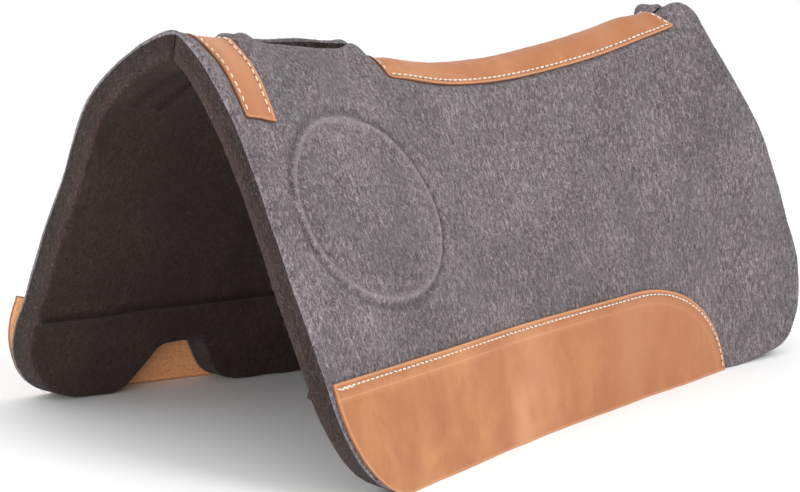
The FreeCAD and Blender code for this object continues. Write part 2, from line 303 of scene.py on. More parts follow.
def notch_edge():
    """The billet notch, from its front foot to its rear foot, side view."""
    points = [(FRONT_FOOT, 0.0)] + [(a, z) for a, z, _ in NOTCH] + [(0.5, 0.0)]
    arcs = [
        corner(points[i], points[i + 1], points[i + 2], NOTCH[i][2]) for i in range(len(NOTCH))
    ]
    return on_face(np.concatenate(arcs))


def ridge_line():
    """From the rear of the seam to its front, round the wither opening."""
    start, end, width = OPENING
    t = np.linspace(0, math.pi, 24)
    middle, reach = (start + end) / 2, (end - start) / 2
    lens = np.stack([middle + reach * np.cos(t), width * np.sin(t) ** 1.3], 1)
    return np.concatenate([[(SPLIT_FROM, 0.0)], lens, [(0.0, 0.0)]])


def felt_outline():
    floor = on_face([(x, 0.0) for x in np.linspace(NOTCH[3][0] + 0.04, REAR_FOOT, 60)])
    return np.concatenate([front_edge(), notch_edge(), floor, rear_edge()[1:], ridge_line()[1:-1]])


def wear_outline(inset=0.0025):
    """The wear leather: just inside the felt's front edge, down to the floor."""
    front = front_edge()
    z = height(front[:, 0], front[:, 1])
    front = front[z < WEAR_TOP_Z]
    turn = np.linspace(0, math.pi / 2, 40)
    curve = np.stack(
        [WEAR_BACK - WEAR_CURVE * (1 - np.sin(turn)), WEAR_TOP_Z * np.cos(turn)], 1
    )
    top = on_face([(x, WEAR_TOP_Z) for x in np.linspace(0.024, WEAR_BACK - WEAR_CURVE, 80)])
    floor = on_face([(x, 0.0) for x in np.linspace(WEAR_BACK, FRONT_FOOT, 90)])
    front = front + np.array([inset, 0.0])
    return np.concatenate([top[:-1], on_face(curve), floor[1:], front[::-1][1:]])


def oval_outline(grow=0.0, count=120):
    t = np.linspace(0, 2 * math.pi, count, endpoint=False)
    a, b = (OVAL_HALF_LENGTH + grow) * np.cos(t), (OVAL_HALF_HEIGHT + grow) * np.sin(t)
    c, s = math.cos(OVAL_TILT), math.sin(OVAL_TILT)
    return on_face(np.stack([OVAL_AT + a * c - b * s, OVAL_Z + a * s + b * c], 1))


# ---- building a slab from its outline ----


def inward(loop, by):
    """The closed line moved into its own inside, its points sliding apart as they bunch."""
    steps = max(1, math.ceil(abs(by) / 0.0005))
    for _ in range(steps):
        before, after = np.roll(loop, 1, axis=0), np.roll(loop, -1, axis=0)
        way = after - before
        way /= np.maximum(np.linalg.norm(way, axis=1), 1e-12)[:, None]
        x, y = loop.T
        area = np.sum(x * np.roll(y, -1) - np.roll(x, -1) * y)
        normal = np.stack([-way[:, 1], way[:, 0]], 1) * math.copysign(1, area)
        slide = np.sum(((before + after) / 2 - loop) * way, axis=1)[:, None] * way
        loop = loop + normal * by / steps + slide * 0.4
    return loop


def is_inside(points, loop):
    """Which points lie inside a closed line."""
    x, y = points[:, 0], points[:, 1]
    inside = np.zeros(len(points), bool)
    for (ax, ay), (bx, by) in zip(loop, np.roll(loop, -1, axis=0)):
        if ay == by:
            continue
        crosses = (ay > y) != (by > y)
        inside ^= crosses & (x < (bx - ax) * (y - ay) / (by - ay) + ax)
    return inside


def fill(loop, step, rows=()):
    """Points and triangles that fill a closed line. Rows are more points, where detail is needed.
    The line's own points come first."""
    low, high = loop.min(0), loop.max(0)
    gx, gy = np.meshgrid(np.arange(low[0], high[0], step), np.arange(low[1], high[1], step * 0.866))
    gx = gx + (np.arange(gx.shape[0]) % 2)[:, None] * step / 2
    grid = np.stack([gx.ravel(), gy.ravel()], 1)
    inner = inward(loop, step * 0.6)
    grid = grid[is_inside(grid, inner)]
    extra = [r[is_inside(r, inner)] for r in rows]
    if extra:
        extra = np.concatenate(extra)
        near = KDTree(len(extra))
        for i, (x, y) in enumerate(extra):
            near.insert((x, y, 0), i)
        near.balance()
        far = [near.find((x, y, 0))[2] > step * 0.6 for x, y in grid]
        grid = np.concatenate([extra, grid[far]])
    points = np.concatenate([loop, grid])
    edges = [(i, (i + 1) % len(loop)) for i in range(len(loop))]
    made = delaunay_2d_cdt([Vector(p) for p in points], edges, [], 1, 1e-9)
    if len(made[0]) != len(points):
        raise ValueError("an outline crosses itself")
    source = np.array([o[0] for o in made[3]])
    faces = source[np.array(made[2])]
    a, b, c = (points[faces[:, k]] for k in range(3))
    turned = (b - a)[:, 0] * (c - a)[:, 1] - (b - a)[:, 1] * (c - a)[:, 0] < 0
    faces[turned] = faces[turned][:, ::-1]
    return points, faces


def nearest(line, points):
    """Distance of each point from a line."""
    line = even(line, 0.001, closed=False)
    tree = KDTree(len(line))
    for i, (x, y) in enumerate(line):
        tree.insert((x, y, 0), i)
    tree.balance()
    return np.array([tree.find((x, y, 0))[2] for x, y in points])


def beside(line, *offsets):
    """Copies of an open line, moved sideways."""
    way = np.gradient(line, axis=0)
    way /= np.linalg.norm(way, axis=1)[:, None]
    normal = np.stack([-way[:, 1], way[:, 0]], 1)
    return [line + normal * by for by in offsets]


def waves(x, y, seed, count=7):
    """Smooth random bumps about 1 unit across, between about -1 and 1."""
    draw = np.random.default_rng(seed)
    total = 0.0
    for _ in range(count):
        turn, pitch, phase = draw.uniform(0, 2 * math.pi), draw.uniform(0.6, 1.5), draw.uniform(0, 7)
        total = total + np.sin(math.pi * pitch * (x * math.cos(turn) + y * math.sin(turn)) + phase)
    return total / math.sqrt(count)


def mesh_object(name, points, faces, **marks):
    mesh = bpy.data.meshes.new(name)
    mesh.from_pydata(np.asarray(points).tolist(), [], [tuple(f) for f in faces])
    mesh.polygons.foreach_set("use_smooth", [True] * len(mesh.polygons))
    for mark, values in marks.items():
        layer = mesh.attributes.new(mark, "FLOAT", "POINT")
        layer.data.foreach_set("value", np.asarray(values, np.float32))
    mesh.update()
    piece = bpy.data.objects.new(name, mesh)
    bpy.context.scene.collection.objects.link(piece)
    return piece


def slab(name, loop, rings, steps, hand, form, rows=((), ()), at_seam=False):
    """A closed sheet of felt or leather. Rings are (inset from the outline, depth), from the
    outer face round the edge to the inner face, and form moves the depths in and out."""
    loops = [inward(loop, inset) for inset, _ in rings]
    if at_seam:
        for ring, (_, depth) in zip(loops, rings):
            short = np.clip(seam_drop(ring[:, 0], depth) - ring[:, 1], 0, None)
            ring[:, 1] += 0.98 * short
    outer, outer_faces = fill(loops[0], steps[0], rows[0])
    inner, inner_faces = fill(loops[-1], steps[1], rows[1])
    flat = np.concatenate([outer] + loops[1:-1] + [inner])
    n, m = len(loop), len(rings)
    depth = np.concatenate(
        [np.full(len(outer), rings[0][1])]
        + [np.full(n, d) for _, d in rings[1:-1]]
        + [np.full(len(inner), rings[-1][1])]
    )
    starts = [0] + [len(outer) + k * n for k in range(m - 1)]
    quads = []
    for a, b in zip(starts, starts[1:]):
        i = np.arange(n)
        j = (i + 1) % n
        quads.append(np.stack([a + i, b + i, b + j, a + j], 1))
    quads = np.concatenate(quads)
    x, y = loop.T
    if np.sum(x * np.roll(y, -1) - np.roll(x, -1) * y) < 0:
        quads = quads[:, ::-1]
    faces = [tuple(f) for f in outer_faces] + [tuple(q) for q in quads]
    faces += [tuple(f[::-1]) for f in inner_faces + starts[-1]]
    # rim is 1 at the outline and 0 at RIM inside it: the felt uses it for a painted highlight along its cut
    # edges, the leather for a lighter band and its dark burnished edge
    rim = np.zeros(len(flat))
    for k, (inset, _) in enumerate(rings):
        rim[starts[k] : starts[k] + n] = np.clip(1 - inset / RIM, 0, 1)
    under = np.zeros(len(flat))
    under[starts[-1] :] = 1
    shown = place(flat[:, 0], flat[:, 1], depth - form(flat[:, 0], flat[:, 1], depth), hand)
    if at_seam:  # the halves press flat against each other
        shown = np.array(shown)
        shown[:, 0] = hand * np.maximum(hand * shown[:, 0], 0)
    # (along, drop) seen from outside turns the other way on the left half
    if hand > 0:
        faces = [f[::-1] for f in faces]
    d = oval_distance(flat[:, 0], flat[:, 1])
    # oval is above 0.5 on the insert's raised ring, painted lighter (brushed fibres and painted highlight),
    # and below 0.5 in the groove outside it, painted shade
    oval = np.where(depth < OUTER_FELT / 2, 0.5 + 0.5 * hump(d, -0.001, 0.003), 0.5)
    oval -= np.where(depth < OUTER_FELT / 2, 0.5 * hump(d, 0.0055, 0.003), 0)
    # painted shade: darkens the inner face along the stitch grooves, where the felt is pulled in
    pulled = under * groove(flat[:, 0], flat[:, 1])
    seams = wear_seam()
    far_from_seam = nearest(seams, flat)
    crease = np.where(far_from_seam > 0.004, hump(far_from_seam, CREASE, 0.0009), 0)
    ragged = 0.006 * waves(flat[:, 0] / 0.05, flat[:, 1] / 0.02, 5)
    lean = fold_line(flat[:, 0], flat[:, 1]) + ragged
    # painted highlight on the soft fold that crosses the wear leather at FOLD_AT
    rubbed = hump(lean, FOLD_AT, 0.020) * smooth_step(flat[:, 1], 0.30, 0.36)
    # painted shade: the fold's shaded side just in front of it, and the wear leather darkening from behind
    # the fold to the rear
    tanned = np.clip(smooth_step(lean, 0.375, 0.520) + 0.85 * hump(lean, 0.306, 0.024), 0, 1)
    return mesh_object(
        name, shown, faces, rim=rim, under=under, oval=oval, pulled=pulled, crease=crease,
        tanned=tanned, rubbed=rubbed,
    )


RIM = 0.004  # how far in from an edge the rim mark reaches: a painted highlight along the felt's cut edges, and on the leather a lighter band and the dark burnished edge
CREASE = 0.009  # from the wear leather's stitch line to the crease inside it

def strap_edge(across, ends):
    """The strap's front or rear edge, which leans forward away from the ridge."""
    share = np.minimum(np.abs(across) / STRAP_DROP, 1.05)
    return ends[0] + (ends[1] - ends[0]) * share


def strap_row(across, k):
    """The strap's front (0) or rear (1) stitch line."""
    if k == 0:
        return strap_edge(across, STRAP_FRONT) + STITCH_INSET
    return strap_edge(across, STRAP_REAR) - STITCH_INSET


# ---- relief ----


FOLD_AT = 0.350  # where a soft fold crosses the wear leather


def fold_line(along, drop):
    """Distance along the pad, leaning as the wear leather's fold does."""
    return along + 0.18 * (drop - 0.36)


def hump(x, middle, width):
    return np.exp(-(((x - middle) / width) ** 2))


def lift(along, drop, hand):
    """How far the whole felt rises beside the ridge, or sinks where leather is sewn across it."""
    d = np.abs(drop)
    side = np.where(drop < 0, -hand, hand)
    rise = 0.0068 * hump(along, 0.243, 0.014)
    near = 0.0060 * hump(along, 0.084, 0.013) + 0.0024 * hump(along, 0.228, 0.030)
    far = 0.0077 * smooth_step(along, 0.100, 0.200) * smooth_step(along, 0.256, 0.218)
    bump = 0.0075 * hump(along, 0.086, 0.009) * hump(d, 0.020, 0.013)
    bump += 0.0100 * hump(along, 0.769, 0.008) * hump(d, 0.027, 0.010)
    lips = rise + np.where(side > 0, near, far)
    bump += 0.0080 * hump(d, 0.120, 0.050) * smooth_step(along, 0.220, 0.020)
    under_strap = 0.0036 * smooth_step(along, 0.004, 0.018) * smooth_step(along, 0.078, 0.068)
    strip_front = 0.0030 * hump(along, 0.280, 0.016)
    strip_rear = 0.0050 * smooth_step(along, 0.690, 0.740) * smooth_step(along, 0.776, 0.752)
    sunk = under_strap + strip_front + strip_rear
    lobe = np.where(side > 0, 0.0020, -0.0075) * smooth_step(along, 0.765, 0.785)
    beside = smooth_step(d, 0.036, 0.004)
    return (lips + lobe) * beside - sunk * smooth_step(d, 0.058, 0.012) + np.where(side > 0, 0, bump)


def press(along, drop):
    """How deep the sewn-down leather sinks into the outer felt."""
    d = np.abs(drop)
    strap = smooth_step(along, strap_edge(d, STRAP_FRONT) - 0.003, strap_edge(d, STRAP_FRONT) + 0.003)
    strap *= smooth_step(along, strap_edge(d, STRAP_REAR) + 0.003, strap_edge(d, STRAP_REAR) - 0.003)
    strap *= smooth_step(d, STRAP_DROP + 0.003, STRAP_DROP - 0.003)
    strip = smooth_step(along, STRIP_FROM - 0.004, STRIP_FROM + 0.004)
    strip *= smooth_step(d, STRIP_HALF + 0.003, STRIP_HALF - 0.003)
    strip *= smooth_step(along, STRIP_TO + 0.004, STRIP_TO - 0.004)
    return 0.0027 * np.maximum(strap, strip)


def bed(along, drop, hand):
    """How far the felt under leather stands out (+) or in (-)."""
    return lift(along, drop, hand) - press(along, drop)


def oval_distance(along, drop):
    """Distance outside the oval insert's outline, about."""
    z = height(along, drop)
    c, s = math.cos(OVAL_TILT), math.sin(OVAL_TILT)
    u = (along - OVAL_AT) * c + (z - OVAL_Z) * s
    v = (z - OVAL_Z) * c - (along - OVAL_AT) * s
    q = np.hypot(u / OVAL_HALF_LENGTH, v / OVAL_HALF_HEIGHT)
    reach = np.hypot(u, v) / np.maximum(q, 1e-6)
    return (q - 1) * reach


def oval_relief(along, drop):
    d = oval_distance(along, drop)
    ring = 0.0024 * hump(d, -0.001, 0.0026)
    groove = -0.0017 * hump(d, 0.0052, 0.0026) - 0.0008 * hump(d, -0.0075, 0.0035)
    return ring + groove + 0.0012 * smooth_step(d, -0.004, -0.030)


def felt_form(hand, seed):
    """The felt layers' depths, moved out (+) or in (-)."""

    def form(along, drop, depth):
        outside = np.clip(1 - depth / OUTER_FELT, 0, 1)
        inside = smooth_step(depth, LINER_DEPTH, PAD_DEPTH)
        lumps = 0.0006 * waves(along / 0.045, drop / 0.045, seed)
        lumps += 0.00016 * waves(along / 0.010, drop / 0.010, seed + 1)
        outer = lumps + oval_relief(along, drop) - 0.0012 * hump(np.abs(drop), 0, 0.003)
        outer = outer - press(along, drop)
        inner = 0.0009 * waves(along / 0.050, drop / 0.050, seed + 2)
        inner -= 0.0050 * groove(along, drop)
        return lift(along, drop, hand) + outside * outer + inside * inner

    return form


def groove(along, drop):
    """1 on the lines where stitching pulls the inner face in, and 0 away from them."""
    z = height(along, drop)
    top = WEAR_TOP_Z - STITCH_INSET
    rear = np.hypot(
        np.clip(along - WEAR_BACK + WEAR_CURVE, 0, None) / (WEAR_CURVE - STITCH_INSET), z / top
    )
    wear = np.where(along < WEAR_BACK - WEAR_CURVE, np.abs(z - top), np.abs(rear - 1) * top)
    strap = np.minimum(*(np.abs(along - strap_row(drop, k)) for k in (0, 1)))
    strap += np.clip(np.abs(drop) - STRAP_DROP, 0, None) * 2
    return np.maximum(hump(wear, 0, 0.0026), hump(strap, 0, 0.0042))


def leather_form(hand, seed, seams, folds, flare=0.0):
    """Leather rides on the felt's own shape, with stitch channels and soft folds. Flare is how
    far the front top corner stands off the felt."""

    def form(along, drop, depth):
        on_top = depth < -LIFT - 0.001
        flat = np.stack([along, drop], 1)
        near = np.min([nearest(seam, flat) for seam in seams], axis=0)
        channel = -0.00038 * hump(near, 0, 0.0011) - 0.00025 * hump(near, CREASE, 0.0010)
        soft = folds * waves(along / 0.075, drop / 0.200, seed)
        soft += 0.00014 * waves(along / 0.014, drop / 0.014, seed + 1)
        soft += 0.0010 * hump(fold_line(along, drop), FOLD_AT, 0.018) * smooth_step(drop, 0.30, 0.38)
        top_corner = smooth_step(along, 0.048, 0.016) * smooth_step(drop, 0.46, 0.33)
        return bed(along, drop, hand) + flare * top_corner + np.where(on_top, channel + soft, 0)

    return form


# ---- stitches ----


def along_line(line, at, aside=0.0):
    """Points at distances along an open line, moved sideways."""
    steps = np.linalg.norm(np.diff(line, axis=0), axis=1)
    gone = np.concatenate([[0], np.cumsum(steps)])
    way = np.gradient(line, axis=0)
    way /= np.linalg.norm(way, axis=1)[:, None]
    point = np.stack([np.interp(at, gone, line[:, k]) for k in (0, 1)], -1)
    tangent = np.stack([np.interp(at, gone, way[:, k]) for k in (0, 1)], -1)
    normal = np.stack([-tangent[..., 1], tangent[..., 0]], -1)
    return point + normal * np.asarray(aside)[..., None]


def line_length(line):
    return np.linalg.norm(np.diff(line, axis=0), axis=1).sum()


SIDES_OF_THREAD = 10
RINGS_OF_STITCH = 13


def tube(rings, sides):
    """One tube's faces: its walls, and its two ends."""
    ring = np.arange(sides)
    start = (np.arange(rings - 1) * sides)[:, None]
    a, b = start + ring, start + (ring + 1) % sides
    walls = np.stack([a, b, b + sides, a + sides], -1).reshape(-1, 4)
    return walls, np.stack([ring[::-1], (rings - 1) * sides + ring])


def stitch_rows(name, lines, surface, hand, seed, backstitch=0, sink=2.6):
    """Twisted thread in rows. Surface is the depth of the leather's top face."""
    draw = np.random.default_rng(seed)
    walls, ends = tube(RINGS_OF_STITCH, SIDES_OF_THREAD)
    points, faces, holes = [], [], []
    share = np.linspace(0, 1, RINGS_OF_STITCH)[:, None]
    turn = np.linspace(0, 2 * math.pi, SIDES_OF_THREAD, endpoint=False)[None, :]
    for line in lines:
        count = int(line_length(line) / STITCH_PITCH)
        first = (line_length(line) - (count - 1) * STITCH_PITCH - STITCH_LENGTH) / 2
        places = [(first + i * STITCH_PITCH, 0.0) for i in range(count)]
        places += [(first + (i + 0.45) * STITCH_PITCH, 0.0009) for i in range(backstitch)]
        for start, aside in places:
            length = STITCH_LENGTH + draw.normal(0, 0.00025)
            start += draw.normal(0, 0.00015)
            lean = draw.normal(0, 0.00016)
            twist = 1 + 0.13 * np.cos(2 * (turn - share * length / 0.0011))
            radius = STITCH_RADIUS * twist * (1 - 0.35 * np.abs(2 * share - 1) ** 4)
            height = 0.00050 * (1 - sink * np.abs(2 * share - 1) ** 5)
            across = aside + lean * (2 * share - 1) + radius * np.cos(turn)
            at = np.broadcast_to(start + share * length, across.shape)
            flat = along_line(line, at.ravel(), across.ravel())
            up = (height + radius * np.sin(turn)).ravel()
            base = len(points) * SIDES_OF_THREAD * RINGS_OF_STITCH
            depth = surface - up - bed(flat[:, 0], flat[:, 1], hand)
            points.append(place(flat[:, 0], flat[:, 1], depth, hand))
            faces += [tuple(base + f) for f in (*walls, *ends)]
            holes += [(line, start - 0.0003, aside), (line, start + length + 0.0003, aside)]
    if hand < 0:
        faces = [f[::-1] for f in faces]
    return mesh_object(name, np.concatenate(points), faces), holes


def needle_holes(name, holes, surface, hand):
    """The small dark puckers where thread goes into leather."""
    points, faces = [], []
    turn = np.linspace(0, 2 * math.pi, 8, endpoint=False)
    for line, at, aside in holes:
        base = len(points) * 9
        reach = 0.00105
        flat = along_line(line, at + reach * np.cos(turn), aside + reach * np.sin(turn) * 0.9)
        middle = along_line(line, np.array([at]), np.array([aside]))
        flat = np.concatenate([flat, middle])
        up = np.array([-0.00030] * 8 + [0.00016])
        depth = surface - up - bed(flat[:, 0], flat[:, 1], hand)
        points.append(place(flat[:, 0], flat[:, 1], depth, hand))
        faces += [(base + j, base + (j + 1) % 8, base + 8) for j in range(8)]
        faces.append(tuple(base + j for j in range(8))[::-1])
    if hand < 0:
        faces = [f[::-1] for f in faces]
    return mesh_object(name, np.concatenate(points), faces)


# ---- loose fibres ----

FIBRE_RINGS = 4
FIBRE_SIDES = 3
FIBRE_RADIUS = 0.00011
FACE_FIBRES = 5200
EDGE_FIBRES = 3600


def fibres(name, starts, ways, reaches, depths, falls, bows, hand, form, seed):
    """Short bent fibres. Each starts at (along, drop) and depth, goes a way in the face and
    a fall in depth, and bows outward in the middle."""
    draw = np.random.default_rng(seed)
    count = len(starts)
    share = np.linspace(0, 1, FIBRE_RINGS)[None, :, None]
    turn = np.linspace(0, 2 * math.pi, FIBRE_SIDES, endpoint=False)[None, None, :]
    across = np.stack([-ways[:, 1], ways[:, 0]], 1)
    curl = draw.normal(0, 0.25, count)[:, None, None] * reaches[:, None, None]
    width = FIBRE_RADIUS * (0.35 + 0.65 * np.sin(math.pi * (0.15 + 0.7 * share)))
    aside = curl * np.sin(math.pi * share) + width * np.cos(turn)
    go = np.broadcast_to(reaches[:, None, None] * share, aside.shape)
    flat = [
        starts[:, k, None, None] + ways[:, k, None, None] * go + across[:, k, None, None] * aside
        for k in (0, 1)
    ]
    along, drop = (f.ravel() for f in flat)
    drop = np.maximum(drop, 0.0)
    depth = depths[:, None, None] + falls[:, None, None] * share + width * np.sin(turn)
    depth = (depth - bows[:, None, None] * np.sin(math.pi * share) + 0 * aside).ravel()
    depth = depth - form(along, drop, np.clip(depth, 0, PAD_DEPTH))
    points = place(along, drop, depth, hand)
    first = (np.arange(count) * FIBRE_RINGS * FIBRE_SIDES)[:, None, None]
    faces = [tuple(f) for part in tube(FIBRE_RINGS, FIBRE_SIDES) for f in np.concatenate(part + first)]
    return mesh_object(name, points, faces)


def face_fibres(name, outline, count, hand, form, seed):
    """Fibres that lie on the grey face, most of them pointing down it."""
    draw = np.random.default_rng(seed)
    spots = draw.uniform(outline.min(0), outline.max(0), (2 * count, 2))
    spots = spots[is_inside(spots, inward(outline, 0.004))]
    z = height(spots[:, 0], spots[:, 1])
    bare = (spots[:, 1] > 0.008) & ~is_inside(spots, wear_outline(-0.004))
    bare &= (press(spots[:, 0], spots[:, 1]) < 0.0001) & (z > 0.010)
    spots = spots[bare][:count]
    n = len(spots)
    way = draw.normal(0.30, 1.10, n)
    ways = np.stack([np.sin(way), np.cos(way)], 1)
    return fibres(
        name, spots, ways, draw.uniform(0.0015, 0.0045, n), np.full(n, -0.00002),
        draw.normal(-0.0001, 0.0002, n), draw.uniform(0.0001, 0.0007, n), hand, form, seed,
    )


def edge_fibres(name, outline, count, hand, form, seed):
    """Fibres that stand a little out of the felt's cut edges."""
    draw = np.random.default_rng(seed)
    rim = inward(outline, 0.0008)
    z = height(rim[:, 0], rim[:, 1])
    picks = draw.choice(np.where((rim[:, 1] > 0.006) & (z > 0.004))[0], count)
    before, after = np.roll(rim, 1, axis=0), np.roll(rim, -1, axis=0)
    tangent = (after - before)[picks]
    tangent /= np.linalg.norm(tangent, axis=1)[:, None]
    x, y = outline.T
    turning = math.copysign(1, np.sum(x * np.roll(y, -1) - np.roll(x, -1) * y))
    out = np.stack([tangent[:, 1], -tangent[:, 0]], 1) * turning
    lean = draw.uniform(-1.0, 1.0, count)[:, None]
    ways = tangent * draw.choice([-1, 1], count)[:, None] + out * np.abs(lean) * 0.45
    ways /= np.linalg.norm(ways, axis=1)[:, None]
    spots = rim[picks] + tangent * draw.uniform(-0.0015, 0.0015, count)[:, None]
    return fibres(
        name, spots, ways, draw.uniform(0.0015, 0.0042, count), draw.uniform(0.0004, 0.0244, count),
        draw.normal(0, 0.0012, count), draw.normal(0, 0.0004, count), hand, form, seed,
    )


# ---- materials ----


def colour(red, green, blue):
    """A display colour, 0 to 255, as the shader's linear one."""
    parts = [c / 255 for c in (red, green, blue)]
    return tuple(c / 12.92 if c < 0.04 else ((c + 0.055) / 1.055) ** 2.4 for c in parts) + (1.0,)


class Shader:
    """A material, and short names for the nodes it needs."""

    def __init__(self, name, roughness, sheen=0.0, specular=0.3):
        self.material = bpy.data.materials.new(name)
        self.material.use_nodes = True
        self.nodes = self.material.node_tree.nodes
        self.links = self.material.node_tree.links
        self.skin = self.nodes["Principled BSDF"]
        self.skin.inputs["Roughness"].default_value = roughness
        self.skin.inputs["Sheen Weight"].default_value = sheen
        self.skin.inputs["Sheen Roughness"].default_value = 0.5
        self.skin.inputs["Specular IOR Level"].default_value = specular
        self.spot = self.nodes.new("ShaderNodeTexCoord").outputs["Object"]

    def put(self, socket, value):
        if hasattr(value, "links"):
            self.links.new(value, socket)
        else:
            socket.default_value = value

    def math(self, operation, a, b=0.0):
        node = self.nodes.new("ShaderNodeMath")
        node.operation = operation
        self.put(node.inputs[0], a)
        self.put(node.inputs[1], b)
        return node.outputs[0]

    def times(self, a, b):
        return self.math("MULTIPLY", a, b)

    def stretched(self, turn, scale):
        node = self.nodes.new("ShaderNodeMapping")
        node.inputs["Rotation"].default_value = [math.radians(a) for a in turn]
        node.inputs["Scale"].default_value = scale
        self.links.new(self.spot, node.inputs["Vector"])
        return node.outputs[0]

    def noise(self, scale, detail=2.0, rough=0.5, distortion=0.0, spot=None):
        node = self.nodes.new("ShaderNodeTexNoise")
        node.inputs["Scale"].default_value = scale
        node.inputs["Detail"].default_value = detail
        node.inputs["Roughness"].default_value = rough
        node.inputs["Distortion"].default_value = distortion
        self.links.new(spot or self.spot, node.inputs["Vector"])
        return node.outputs["Fac"]

    def strands(self, scale, width, distortion, spot):
        """Thin curly lines, 1 on the line."""
        wander = self.noise(scale, 2.0, 0.5, distortion, spot)
        return self.spread(self.math("ABSOLUTE", self.math("SUBTRACT", wander, 0.5)), width, 0.0)

    def spread(self, value, low, high):
        """0 at low and 1 at high."""
        node = self.nodes.new("ShaderNodeMapRange")
        node.inputs["From Min"].default_value = low
        node.inputs["From Max"].default_value = high
        self.links.new(value, node.inputs["Value"])
        return node.outputs[0]

    def mark(self, name):
        node = self.nodes.new("ShaderNodeAttribute")
        node.attribute_name = name
        return node.outputs["Fac"]

    def mix(self, share, a, b):
        node = self.nodes.new("ShaderNodeMix")
        node.data_type = "RGBA"
        self.put(node.inputs["Factor"], share)
        self.put(node.inputs[6], a)
        self.put(node.inputs[7], b)
        return node.outputs[2]

    def finish(self, base, height, depth, roughness=None):
        self.links.new(base, self.skin.inputs["Base Color"])
        bump = self.nodes.new("ShaderNodeBump")
        bump.inputs["Strength"].default_value = 1.0
        bump.inputs["Distance"].default_value = depth
        self.links.new(height, bump.inputs["Height"])
        self.links.new(bump.outputs[0], self.skin.inputs["Normal"])
        if roughness:
            self.links.new(roughness, self.skin.inputs["Roughness"])
        return self.material


def felt(name, dark, middle, pale, contrast, rim_highlight_colour, rim_highlight_share, cool_tint, sheen=0.25):
    """Pressed wool: blotches, clumps and curly fibres of several shades."""
    m = Shader(name, 1.0, sheen=sheen, specular=0.1)
    down = m.stretched((24, 8, 0), (1.0, 1.0, 0.48))
    cross = m.stretched((-38, 0, 14), (1.0, 1.0, 0.6))
    clumps = m.noise(300, 3.0, 0.66, 0.8, down)
    fine = m.noise(800, 2.0, 0.65, 0.5, cross)
    blotches = m.noise(11, 3.0, 0.5)
    body = m.math("ADD", m.times(clumps, 0.6), m.times(fine, 0.4))
    body = m.math("ADD", body, m.times(m.math("SUBTRACT", blotches, 0.5), 0.16))
    light = m.spread(body, 0.5, 0.5 + contrast)
    shade = m.spread(body, 0.5, 0.5 - contrast)
    base = m.mix(light, middle, pale)
    base = m.mix(shade, base, dark)
    pale_hair = m.strands(190, 0.012, 2.2, down)
    dark_hair = m.strands(170, 0.014, 2.0, cross)
    base = m.mix(m.times(pale_hair, 0.55), base, pale)
    base = m.mix(m.times(dark_hair, 0.45), base, dark)
    # painted relief on the oval's ring: lighter on the raised ring (brushed fibres and painted highlight),
    # darker in the groove outside it (painted shade)
    oval = m.mark("oval")
    base = m.mix(m.times(m.spread(oval, 0.5, 1.0), 0.42), base, pale)
    base = m.mix(m.times(m.spread(oval, 0.5, 0.0), 0.42), base, dark)
    # painted shade in the stitch grooves on the inner face
    base = m.mix(m.times(m.mark("pulled"), 0.9), base, m.mix(0.5, dark, (0, 0, 0, 1)))
    # painted highlight: a broken lighter line along the felt's cut edges
    edge = m.times(m.spread(m.mark("rim"), 0.55, 1.0), rim_highlight_share)
    edge = m.times(edge, m.spread(fine, 0.38, 0.55))
    base = m.mix(edge, base, rim_highlight_colour)
    height = m.math("ADD", m.math("ADD", clumps, fine), m.times(pale_hair, 0.35))
    cool = m.times(m.spread(m.noise(17, 2.0, 0.5), 0.52, 0.75), 0.4)
    base = m.mix(cool, base, cool_tint)
    return m.finish(base, height, 0.0016)


def leather(name, dark, middle, light, edge, flesh):
    """Smooth harness leather: mottled, scuffed, with pores, burnished edges and a fibrous back."""
    m = Shader(name, 0.5, specular=0.35)
    soft = m.noise(13, 4.0, 0.6, 0.5)
    patches = m.noise(34, 3.0, 0.6, 0.9)
    pull = m.noise(7, 2.0, 0.5, 0.6, m.stretched((10, 0, 0), (0.4, 1.2, 0.40)))
    grain = m.noise(900, 2.0, 0.6)
    pores = m.noise(2200, 1.0, 0.5)
    fuzz = m.noise(420, 3.0, 0.7, 0.6)
    base = m.mix(m.spread(soft, 0.30, 0.66), dark, middle)
    base = m.mix(m.times(m.spread(patches, 0.56, 0.36), 0.46), base, dark)
    base = m.mix(m.times(m.spread(pull, 0.50, 0.74), 0.50), base, light)
    base = m.mix(m.times(m.spread(grain, 0.55, 0.30), 0.24), base, dark)
    scratches = m.strands(30, 0.0035, 1.2, m.stretched((52, 0, 0), (1.0, 1.0, 0.25)))
    scratches = m.times(scratches, m.spread(m.noise(21), 0.52, 0.66))
    base = m.mix(m.times(scratches, 0.55), base, light)
    base = m.mix(m.times(m.mark("crease"), 0.55), base, light)
    # painted shade on the wear leather: the fold's shaded side and the darkening towards the rear
    base = m.mix(m.times(m.mark("tanned"), 0.42), base, dark)
    # painted highlight along the fold's crest
    base = m.mix(m.times(m.mark("rubbed"), 0.55), base, light)
    rim = m.mark("rim")
    base = m.mix(m.times(m.spread(rim, 0.30, 0.52), 0.5), base, light)
    base = m.mix(m.times(m.spread(rim, 0.80, 1.0), 0.8), base, edge)
    under = m.mark("under")
    base = m.mix(under, base, m.mix(m.spread(fuzz, 0.25, 0.55), middle, flesh))
    rough = m.math("ADD", m.times(grain, 0.22), m.times(soft, 0.12))
    rough = m.math("ADD", rough, m.math("ADD", m.times(under, 0.35), 0.30))
    height = m.math("ADD", m.times(grain, 0.6), m.times(pores, 0.4))
    height = m.math("ADD", height, m.times(m.times(fuzz, under), 3.0))
    height = m.math("SUBTRACT", height, m.times(scratches, 0.8))
    return m.finish(base, height, 0.00022, rough)


def thread(name, dark, light):
    m = Shader(name, 0.6, sheen=0.2, specular=0.35)
    strands = m.noise(1500, 2.0, 0.6)
    soiling = m.noise(60, 2.0, 0.5)
    share = m.math("ADD", m.times(strands, 0.6), m.times(soiling, 0.4))
    return m.finish(m.mix(m.spread(share, 0.35, 0.6), dark, light), strands, 0.0002)
